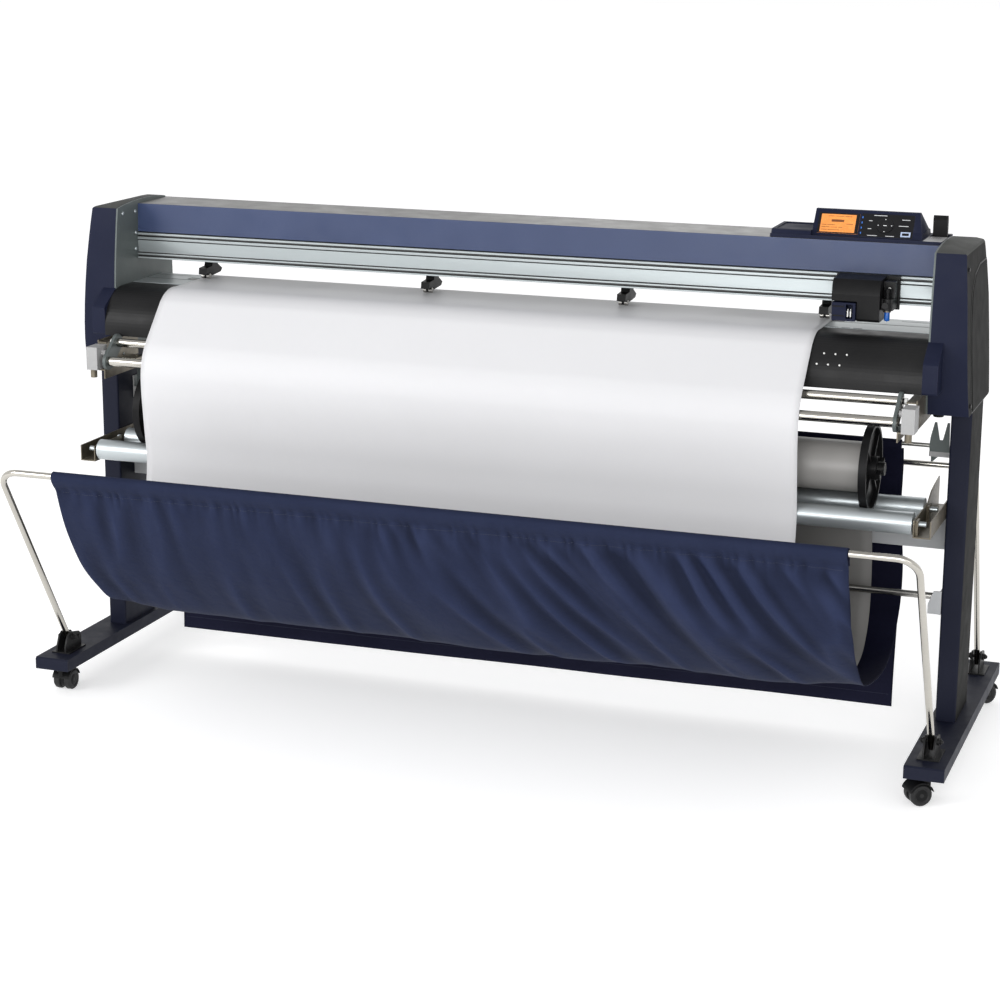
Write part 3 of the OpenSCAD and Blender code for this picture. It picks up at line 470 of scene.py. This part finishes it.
# faces inside the rail's front groove are painted near-black: painted shade in the groove
RAIL_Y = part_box("y_rail")[0].y
soften("y_rail", 0.0005, 2, ["aluminium", "groove"],
       lambda f: int(RAIL_Y + 0.0005 < f.calc_center_median().y < RAIL_Y + 0.0042
                     and not 1.070 < f.calc_center_median().z < 1.090))
soften("blade_holder", 0.0003, 2, ["black_plastic", "tool_blue", "zinc"],
       lambda f: 1 if f.calc_center_median().z < 1.0418
       else 2 if f.calc_center_median().z < 1.0470 else 0)
LEG_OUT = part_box("legs")[1].x
soften("legs", 0.0010, 2, ["navy_paint", "grey_panel"],
       lambda f: int(abs(f.calc_center_median().x) > LEG_OUT - 0.0005))
soften("guide_boxes", 0.0016, 2, ["light_panel", "zinc"],
       lambda f: int(f.calc_center_median().z < 0.8136))
soften("rear_rod_brackets", 0.0006, 2, ["dark_steel", "light_panel"],
       lambda f: int(0.6995 < f.calc_center_median().z < 0.7118))


# ---------------------------------------------------------------- catch basket cloth

FRONT_RUN = [(-0.5660, 0.588), (-0.5700, 0.604), (-0.5716, 0.618), (-0.5750, 0.6272),
             (-0.5838, 0.6310), (-0.5926, 0.6275), (-0.5960, 0.619), (-0.5932, 0.609),
             (-0.5850, 0.597), (-0.5745, 0.584), (-0.5620, 0.541), (-0.530, 0.468),
             (-0.476, 0.382), (-0.406, 0.301), (-0.352, 0.252), (-0.290, 0.228),
             (-0.200, 0.215), (-0.120, 0.214), (-0.040, 0.225), (0.020, 0.255),
             (0.060, 0.307), (0.0755, 0.345), (0.0825, 0.400), (0.0815, 0.470),
             (0.0765, 0.560), (0.0695, 0.650), (0.0625, 0.690), (0.0588, 0.704),
             (0.0580, 0.715), (0.0604, 0.7212), (0.0660, 0.7235), (0.0716, 0.7212),
             (0.0740, 0.715), (0.0735, 0.704), (0.0705, 0.692)]
SEAM = 0.112


def basket_wrinkles(x, s):
    t = s - SEAM
    right = ramp(-0.45, 0.40, x)
    lean = (0.06 + 0.46 * right) * np.clip(t, 0, 0.6)
    u = x - lean + 0.014 * noise2(x / 0.2, t / 0.3, 21)
    pucker = 0.0030 * np.exp(-np.abs(t - 0.004) / 0.022) * noise2(x / 0.0085, t / 0.10, 3)
    gather = (0.0100 * ramp(-0.012, 0.04, t) * np.exp(-np.clip(t, 0, 9) / 0.13)
              * noise2(u / 0.024, t / 0.22, 5) * (0.45 + 0.65 * right))
    crease = noise2(u / 0.060, t / 0.40, 9)
    crease = (1 - np.abs(crease) * 2.2) * 0.0085 * ramp(0.0, 0.10, t) * (1 - ramp(0.28, 0.52, t))
    folds = ((noise2(u / 0.17, t / 0.8, 7) + 0.6 * noise2(u / 0.085, t / 0.5, 11))
             * 0.0190 * ramp(0.0, 0.16, t) * (1 - ramp(0.26, 0.56, t)))
    seam = -0.0018 * np.exp(-((t - 0.002) / 0.0025) ** 2)
    corner = (-0.012 * ramp(0.78, 0.93, np.abs(x)) * ramp(0.22, 0.42, t)
              * (1 - ramp(0.8, 1.0, t)))
    live = ramp(-0.05, -0.01, t)
    end = 1 - ramp(1.32, 1.45, t)
    return live * end * (pucker + gather + (crease + folds) * (0.40 + 0.80 * right)) + seam + corner


def basket_edge(x, s):
    t = s - SEAM
    side = np.sign(x) * ramp(0.80, 0.93, np.abs(x))
    rear = ramp(0.85, 1.5, t)
    wave = 0.006 * noise2(t / 0.16, 0.5 * np.sign(x) + 3, 31) * ramp(0.05, 0.3, t)
    out = np.where(x > 0, 0.003 - 0.021 * rear, 0.003 + 0.009 * rear)
    return side * (out + wave)


basket, basket_len = make_sheet("basket_sheet", FRONT_RUN, 0.0055, np.linspace(-0.933, 0.933, 420),
                                basket_wrinkles, 0.0011, ["cloth_shaded", "cloth"], "stand",
                                edge=basket_edge)
# the basket's inner face keeps the darker cloth, painted shade; the other face and the rim get the
# plain cloth
basket.modifiers["thick"].material_offset = 1
basket.modifiers["thick"].material_offset_rim = 1
FLAP_RUN = [(0.0720, 0.702), (0.0765, 0.684), (0.0835, 0.650), (0.0900, 0.560), (0.0945, 0.470),
            (0.0965, 0.400), (0.0955, 0.330), (0.0905, 0.270), (0.0830, 0.210), (0.0765, 0.140),
            (0.0725, 0.0615)]


def flap_wrinkles(x, s):
    slow = noise2(x / 0.30, s / 0.9, 41) + 0.4 * noise2(x / 0.11, s / 0.5, 43)
    hem = 0.0012 * np.exp(-((s - 0.618) / 0.003) ** 2)
    return 0.0065 * slow * ramp(0.03, 0.35, s) + hem


# the rear flap takes the darker cloth: painted shade
flap, flap_len = make_sheet("basket_flap", FLAP_RUN, 0.010, np.linspace(-0.950, 0.924, 220),
                            flap_wrinkles, 0.0012, ["cloth_shaded"], "stand",
                            edge=lambda x, s: 0.003 * noise2(s / 0.2, np.sign(x) + 5, 47)
                            * ramp(0.88, 0.924, np.abs(x)))
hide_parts("basket_cloth")
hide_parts("basket_cloth")


def stitch_row(name, run, step, at, wrinkle, x0, x1, side=1):
    """Short thread stitches along X, lying on the outside of a sheet at the distance at."""
    c, s = smooth_run(run, step)
    k = int(np.argmin(np.abs(s - at)))
    d = c[k + 1] - c[k - 1]
    n = np.array([d[1], -d[0]]) / np.linalg.norm(d)
    bm = bmesh.new()
    for x in np.arange(x0, x1, 0.0058):
        o = float(wrinkle(x, s[k])) + 0.0008 * side
        a = Vector((x, c[k, 0] + n[0] * o + YO, c[k, 1] + n[1] * o))
        add_lathe(bm, a, (1, 0, 0), [(0, 0), (0.00050, 0.0007), (0.00050, 0.0033), (0, 0.0040)],
                  6)
    return finish(bm, name, "thread", "stand")


# the hem hangs a little higher towards the right end
HEM_RISE = 0.011
hem = stitch_row("stitches_hem", FLAP_RUN, 0.010, 0.610, flap_wrinkles, -0.944, 0.914)
for ob in (flap, hem):
    for v in ob.data.vertices:
        v.co.z += HEM_RISE * float(ramp(-0.9, 0.92, v.co.x) * ramp(0.24, 0.06, v.co.z))
stitch_row("stitches_front", FRONT_RUN, 0.0055, SEAM + 0.006, basket_wrinkles, -0.925, 0.925)


# ---------------------------------------------------------------- loaded sheet and roll's end

def arc(c, r, a0, a1, n):
    return [(c[0] + r * math.cos(math.radians(a0 + (a1 - a0) * i / n)),
             c[1] + r * math.sin(math.radians(a0 + (a1 - a0) * i / n))) for i in range(n + 1)]


WEB_RUN = ([(0.116, 0.9959), (0.060, 0.9959), (0.0, 0.9959), (-0.06, 0.9959)]
           + arc((-0.101, 0.900), 0.0970, 85, 138, 8)
           + arc((-0.150, 0.800), 0.1285, 138, 180, 6)
           + [(-0.2770, 0.760), (-0.2715, 0.710), (-0.2655, 0.660), (-0.2605, 0.625),
              (-0.2590, 0.596), (-0.2645, 0.545), (-0.2845, 0.485), (-0.3105, 0.425),
              (-0.3255, 0.365), (-0.3255, 0.310), (-0.3050, 0.2735), (-0.268, 0.258)])
web_lo, web_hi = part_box("media_web")


def web_ripple(x, s):
    slow = noise2(x / 0.55, s / 0.5, 51)
    return 0.0022 * slow * ramp(0.46, 0.75, s)


web, web_len = make_sheet("media_sheet", WEB_RUN, 0.008,
                          np.linspace(web_lo.x, web_hi.x, 90), web_ripple, 0.0007,
                          ["vinyl_white"], "stand")
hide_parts("media_web")
tail_lo, tail_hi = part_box("roll_tail")
TAIL_RUN = ([(-0.1042, 0.721)] + arc((-0.089, 0.6035), 0.0262, 20, 0, 3)
            + [(-0.062, 0.580), (-0.048, 0.530), (-0.034, 0.480), (-0.027, 0.430),
               (-0.026, 0.380), (-0.031, 0.335), (-0.050, 0.292), (-0.090, 0.254),
               (-0.140, 0.238), (-0.200, 0.234)])
# the roll's end takes the darker vinyl: painted shade
tail, tail_len = make_sheet("roll_end", TAIL_RUN, 0.008, np.linspace(tail_lo.x, tail_hi.x, 60),
                            lambda x, s: 0.0015 * noise2(x / 0.4, s / 0.3, 61)
                            * ramp(0.2, 0.4, s), 0.0007, ["vinyl_shaded"], "stand")
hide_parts("roll_tail")


# ---------------------------------------------------------------- small parts

def at(x, y, z):
    """Machine millimetres to the frame's metres."""
    return Vector((x / 1000, y / 1000 + YO, z / 1000))


def mm_box(bm, lo, hi, mat=0):
    add_box(bm, at(*lo), at(*hi), mat)


PANEL_TILT = math.radians(55.9)
PANEL_AT = (8, 1189)


def panel_box(bm, x0, x1, y0, y1, z0, z1, mat=0):
    """A box in the console's sloping frame: X along, Y up the slope, Z out of it."""
    cs, sn = math.cos(PANEL_TILT), math.sin(PANEL_TILT)
    for v in add_box(bm, (x0, y0, z0), (x1, y1, z1), mat):
        x, y, z = v.co
        v.co = at(x, PANEL_AT[0] + y * cs - z * sn, PANEL_AT[1] + y * sn + z * cs)


# plate, bracket and carriage screws
bm = bmesh.new()
for sx in (-1, 1):
    for y, z in ((-88, 1170), (-24, 1168), (-24, 1115), (-27, 1075)):
        screw(bm, at(sx * 1004.2, y, z), (-sx, 0, 0), 0.0044, 0.0026)
    for z in (868, 845, 823):
        screw(bm, at(sx * 1001.2, -112, z), (-sx, 0, 0), 0.0032, 0.0020)
    for z in (696, 725):
        screw(bm, at(sx * 1046.1, 62, z), (-sx, 0, 0), 0.0045, 0.0026)
finish(bm, "plate_screws", "roller_metal", "stand")
bm = bmesh.new()
for sx in (-1, 1):
    for y, z, r in ((-299.1, 131.0, 8), (344.3, 133.6, 7)):
        for s in (-1, 1):
            add_lathe(bm, at(sx * 1082 + s * (r + 10.4), y, z), (s, 0, 0),
                      [(0.0066, 0), (0.0066, 0.0040), (0.0052, 0.0052), (0, 0.0052)], 6)
            add_lathe(bm, at(sx * 1082 + s * (r + 14), y, z), (s, 0, 0),
                      [(0.0038, 0), (0.0038, 0.0034), (0.0030, 0.0040), (0, 0.0040)], 20)
bevel(finish(bm, "hinge_nuts", "black_paint", "stand"), 0.0003, 1)

# cap on each upper rod end, foot under each cover
for sx, side in ((-1, "l"), (1, "r")):
    bm = bmesh.new()
    add_lathe(bm, at(sx * 967.2, -212, 871), (sx, 0, 0), [(0.0066, 0), (0.0066, 0.0048)], 32, 1)
    add_lathe(bm, at(sx * 971.6, -212, 871), (sx, 0, 0),
              [(0.0074, 0), (0.0084, 0.0008), (0.0084, 0.0060), (0.0072, 0.0070), (0, 0.0070)], 32)
    finish(bm, "rod_cap_" + side, ["white_plastic", "black_plastic"], "rod_upper")
    bm = bmesh.new()
    add_lathe(bm, at(sx * 1026, -84, 829.4), (0, 0, -1),
              [(0.0130, 0), (0.0130, 0.0090), (0.0112, 0.0132), (0.0060, 0.0144),
               (0, 0.0144)], 40)
    finish(bm, "cover_foot_" + side, "black_plastic", "stand")

# dark strip around the raised skin of each cover: painted shade in the gap at its edge
bm = bmesh.new()
bm.from_mesh(NODES["side_panels"].data)
for v in bm.verts:
    v.co.y = 0.040 + YO + (v.co.y - 0.040 - YO) * 1.034
    v.co.z = 0.986 + (v.co.z - 0.986) * 1.024
    v.co.x -= math.copysign(0.0016, v.co.x)
finish(bm, "panel_gap_shade", "groove", "stand")

# cutting strip, slots by the front edge, marker pins in the guide
bm = bmesh.new()
mm_box(bm, (-1003.5, 27.4, 990.1), (1003.5, 32.6, 994.6))
for k in range(3):
    mm_box(bm, (764 + 27 * k, -44, 994.9), (784 + 27 * k, -40.5, 995.25))
for x0 in (-1000, 905):
    mm_box(bm, (x0, 84, 994.9), (x0 + 92, 86, 995.2))
finish(bm, "cutting_strip", "black_plastic", "stand")
bm = bmesh.new()
for i in range(3):
    for j in range(2):
        z = 958 - 22 * j
        a = math.acos((z - 900) / 95.0)
        p = at(782 + 25.5 * i - 13 * j, -101 - 94.6 * math.sin(a), 900 + 94.6 * math.cos(a))
        add_lathe(bm, p, (0, -math.sin(a), math.cos(a)),
                  [(0.0021, 0), (0.0021, 0.0018), (0.0015, 0.0024), (0, 0.0025)], 20)
finish(bm, "marker_pins", "white_plastic", "stand")

# carriage: levers in the cutter's window, screws on the clamp
bm = bmesh.new()
for x in (814.4, 820.9):
    mm_box(bm, (x, -104, 1030), (x + 2.6, -90, 1044))
    mm_box(bm, (x + 0.5, -102.5, 1043.5), (x + 2.1, -92, 1048))
bevel(finish(bm, "cutter_levers", "white_plastic", "carriage"), 0.0008)
bm = bmesh.new()
screw(bm, at(900, -61.9, 1092), (0, -1, 0), 0.0036, 0.0022)
screw(bm, at(900, -61.9, 1080), (0, -1, 0), 0.0024, 0.0016)
finish(bm, "clamp_screws", "white_plastic", "tool")
bm = bmesh.new()
for z0, z1 in ((1031, 1034), (1052, 1055)):
    mm_box(bm, (782, -107.0, z0), (808, -105.6, z1))
for k in range(3):
    mm_box(bm, (890 + 6 * k, -25.2, 1044), (893 + 6 * k, -23.9, 1066))
bevel(finish(bm, "carriage_ribs", "black_plastic", "carriage"), 0.0004, 1)

# console: screen frame and marks, key labels, soft-key marks, perforated ledge
bm = bmesh.new()
for x0, x1, y0, y1 in ((713.5, 718.8, 12.5, 63.5), (798.6, 806.5, 12.5, 63.5),
                       (718.6, 798.8, 60.4, 63.5), (718.6, 798.8, 12.5, 15.2)):
    panel_box(bm, x0, x1, y0, y1, -0.25, 0.35)
bevel(finish(bm, "screen_frame", "key_grey", "stand"), 0.0002, 1)
bm = bmesh.new()
panel_box(bm, 743, 772, 41.2, 47.2, -0.25, -0.12)
for y, runs in ((55, ((736, 750), (752, 771), (773, 789))), (33, ((722, 733), (735, 752))),
                (27, ((722, 741), (743, 758), (761, 770))), (20.5, ((722, 735), (737, 764))),
                (36, ((778, 793),))):
    for a, b in runs:
        panel_box(bm, a, b, y, y + 1.2, -0.25, -0.14)
finish(bm, "screen_marks", "lcd_dark", "stand")
bm = bmesh.new()
for x0, x1, y in ((838, 868, 61.3), (903, 921, 53.0), (897, 919, 37.4), (829, 851, 10.8),
                  (870, 890, 10.8), (828, 836, 47.5), (828, 836, 27.5)):
    panel_box(bm, x0, x1, y, y + 1.4, -0.25, -0.06)
finish(bm, "key_labels", "mark_grey", "stand")
bm = bmesh.new()
for y in (14.5, 27.5, 40.5, 53.5):
    panel_box(bm, 812.0, 814.2, y, y + 4.5, -0.25, 0.1)
finish(bm, "soft_key_marks", "blue_mark", "stand")
bm = bmesh.new()
for a in range(4):
    cx, cy = 866 + 15.2 * math.cos(a * math.pi / 2), 37 + 15.2 * math.sin(a * math.pi / 2)
    panel_box(bm, cx - 1.3, cx + 1.3, cy - 0.9, cy + 0.9, 1.45, 1.62)
finish(bm, "nav_marks", "mark_grey", "nav_key_body")
bm = bmesh.new()
panel_box(bm, 862, 870, 36.1, 37.9, 1.15, 1.32)
finish(bm, "enter_mark", "mark_grey", "enter_key_body")
bm = bmesh.new()
panel_box(bm, 907.2, 922.8, 13.8, 20.2, 1.2, 1.42)
bevel(finish(bm, "ring_centre", "key_grey", "ring_key_body"), 0.0001, 1)
bm = bmesh.new()
mm_box(bm, (958.5, -2.5, 1193.9), (1000.6, 73.5, 1194.9))
mm_box(bm, (958.5, 130.5, 1193.9), (1000.6, 141, 1194.9))
# the ledge's perforations are near-black discs: painted shade in the holes
for i in range(6):
    for j in range(4):
        add_lathe(bm, at(964 + 5 * i, 44 + 7 * j, 1194.85), (0, 0, 1),
                  [(0.0015, 0), (0.0015, 0.00016)], 12, 1)
finish(bm, "ledge", ["light_panel", "groove"], "stand")

# caster hub caps
for c, x, y, turn in (("fl", -1082, -335, 0), ("fr", 1082, -335, 124), ("rl", -1082, 385, 24),
                      ("rr", 1082, 385, -36)):
    a = math.radians(turn)
    ax = Vector((math.cos(a), math.sin(a), 0))
    mid = at(x - math.sin(a) * 20, y + math.cos(a) * 20, 25)
    bm = bmesh.new()
    for s in (-1, 1):
        add_lathe(bm, mid + ax * (s * 0.0214), ax * s,
                  [(0.0138, 0), (0.0138, 0.0008), (0.0120, 0.0016), (0.0050, 0.0020),
                   (0.0042, 0.0012), (0, 0.0012)], 32)
    finish(bm, "hub_cap_" + c, "black_plastic", "wheels_" + c)



# ---------------------------------------------------------------- stage

def area(name, at, to, size, power, color=(1, 1, 1)):
    l = bpy.data.lights.new(name, "AREA")
    l.shape = "RECTANGLE"
    l.size, l.size_y = size
    l.energy = power
    l.color = color
    o = bpy.data.objects.new(name, l)
    o.location = at
    o.rotation_euler = (Vector(to) - Vector(at)).to_track_quat("-Z", "Y").to_euler()
    bpy.context.collection.objects.link(o)


area("key", (-3.6, -3.8, 2.6), (-0.4, 0, 0.7), (2.0, 2.0), 90)
area("front", (0.8, -6.6, 1.9), (0.1, 0, 0.6), (5.0, 2.2), 190)
area("fill", (3.8, -3.6, 2.2), (0, 0, 0.7), (2.0, 2.0), 18)
area("back", (0.5, 3.8, 2.6), (0, 0, 0.8), (4.0, 1.8), 12)

world = bpy.data.worlds.new("world")
bpy.context.scene.world = world
world.use_nodes = True
wt = world.node_tree
tc = wt.nodes.new("ShaderNodeTexCoord")
sep = wt.nodes.new("ShaderNodeSeparateXYZ")
wt.links.new(tc.outputs["Generated"], sep.inputs[0])
ends = []
for axis, a, b in (("Y", -0.05, -0.75), ("Z", 0.85, 0.30)):
    near = wt.nodes.new("ShaderNodeMapRange")
    near.inputs["From Min"].default_value = a
    near.inputs["From Max"].default_value = b
    wt.links.new(sep.outputs[axis], near.inputs["Value"])
    ends.append(near.outputs["Result"])
both = wt.nodes.new("ShaderNodeMath")
both.operation = "MULTIPLY"
wt.links.new(ends[0], both.inputs[0])
wt.links.new(ends[1], both.inputs[1])
sky = wt.nodes.new("ShaderNodeMix")
sky.data_type = "RGBA"
sky.inputs[6].default_value = (1.0, 1.0, 1.0, 1)
sky.inputs[7].default_value = (0.84, 0.84, 0.85, 1)
wt.links.new(both.outputs[0], sky.inputs[0])
high = wt.nodes.new("ShaderNodeMapRange")
high.inputs["From Min"].default_value = 0.45
high.inputs["From Max"].default_value = 0.95
wt.links.new(sep.outputs["Z"], high.inputs["Value"])
dome = wt.nodes.new("ShaderNodeMix")
dome.data_type = "RGBA"
dome.inputs[7].default_value = (0.50, 0.50, 0.51, 1)
wt.links.new(high.outputs["Result"], dome.inputs[0])
wt.links.new(sky.outputs[2], dome.inputs[6])
wt.links.new(dome.outputs[2], wt.nodes["Background"].inputs[0])
wt.nodes["Background"].inputs[1].default_value = 1.0

bm = bmesh.new()
bmesh.ops.create_grid(bm, x_segments=1, y_segments=1, size=40)
me = bpy.data.meshes.new("floor")
bm.to_mesh(me)
bm.free()
floor = bpy.data.objects.new("floor", me)
floor.location.z = -0.0004
bpy.context.collection.objects.link(floor)
me.materials.append(material("floor", (0.80, 0.80, 0.80), 0.9, var=0.004, bump=0.0, spec=0.1))
glow = me.materials[0].node_tree.nodes["Principled BSDF"]
glow.inputs["Emission Color"].default_value = (1, 1, 1, 1)
glow.inputs["Emission Strength"].default_value = 0.46

cam = bpy.data.cameras.new("camera")
cam.sensor_width = 36
cam.lens = 85.65
cam.clip_end = 60
co = bpy.data.objects.new("camera", cam)
bpy.context.collection.objects.link(co)
yaw, pitch, roll = 0.344888, 0.247253, 0.005972
cam_at = (1.8612, -5.2112, 1.9273)
fwd = Vector((-math.sin(yaw) * math.cos(pitch), math.cos(yaw) * math.cos(pitch),
              -math.sin(pitch)))
right = Vector((math.cos(yaw), math.sin(yaw), 0))
up = right.cross(fwd)
r = right * math.cos(roll) + up * math.sin(roll)
u = up * math.cos(roll) - right * math.sin(roll)
co.matrix_world = Matrix(((r.x, u.x, -fwd.x, cam_at[0]), (r.y, u.y, -fwd.y, cam_at[1]),
                          (r.z, u.z, -fwd.z, cam_at[2]), (0, 0, 0, 1)))
bpy.context.scene.camera = co
bpy.context.scene.view_settings.view_transform = "Standard"
bpy.context.scene.view_settings.look = "None"

bpy.context.view_layer.update()
